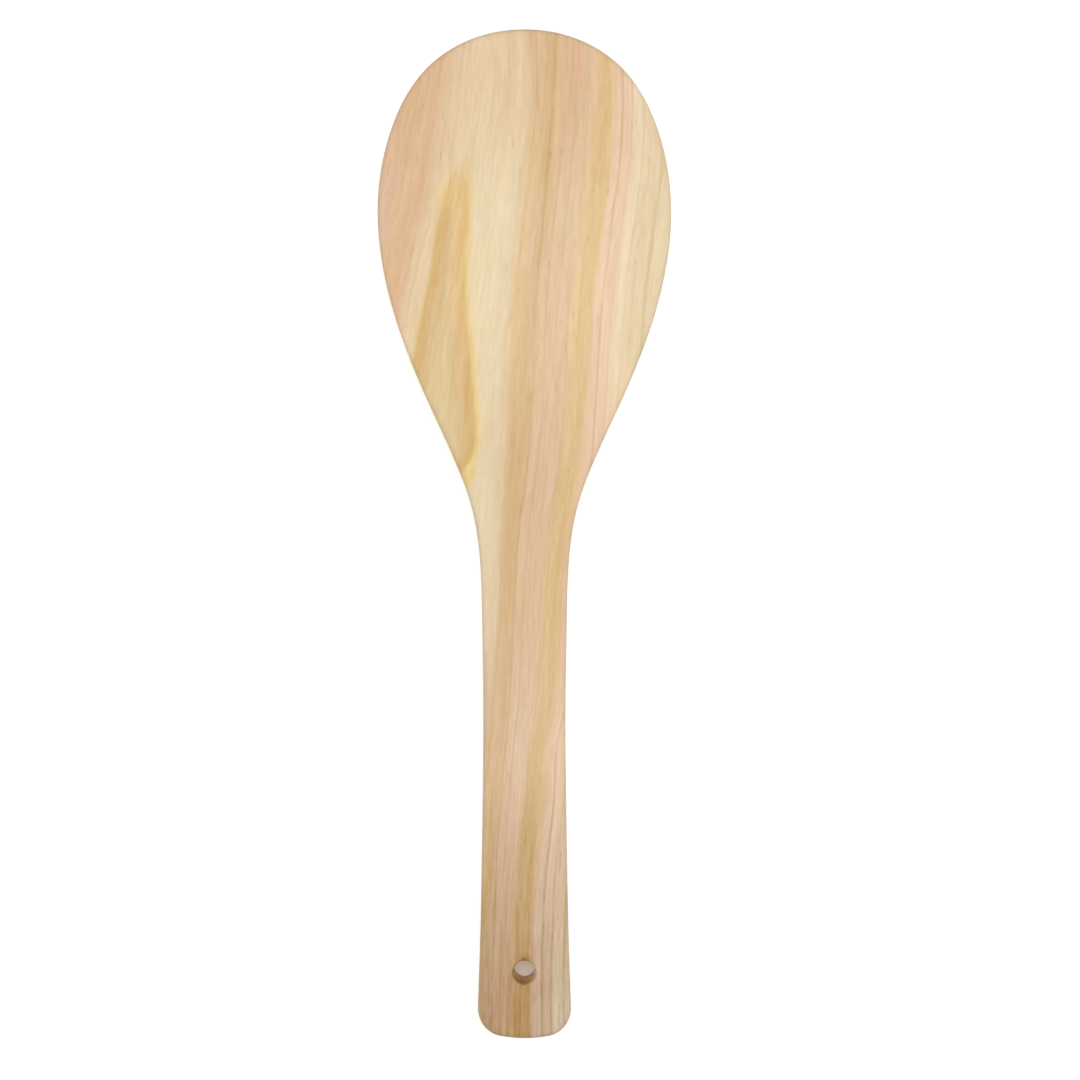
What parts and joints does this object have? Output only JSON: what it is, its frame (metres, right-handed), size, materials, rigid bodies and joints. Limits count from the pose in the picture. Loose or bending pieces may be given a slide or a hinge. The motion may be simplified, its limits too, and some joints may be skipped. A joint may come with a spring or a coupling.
{
  "type": "rice paddle",
  "caption": "Flat wooden paddle for serving and turning cooked rice, with a rounded egg-shaped blade, a waisted handle and a hanging hole near the heel.",
  "frame": {"origin": "middle of the paddle's box on the flat back face, which is what it lies on", "axes": "+Y along the length, from the heel of the handle to the blade's tip; +X to the right across the width, seen from the front; +Z out of the front face"},
  "size_m": [0.0966, 0.33, 0.0101],
  "materials": {
    "bare_softwood": "sanded, unfinished"
  },
  "bodies": {
    "root": {"paddle": "bare_softwood"}
  },
  "joints": []
}
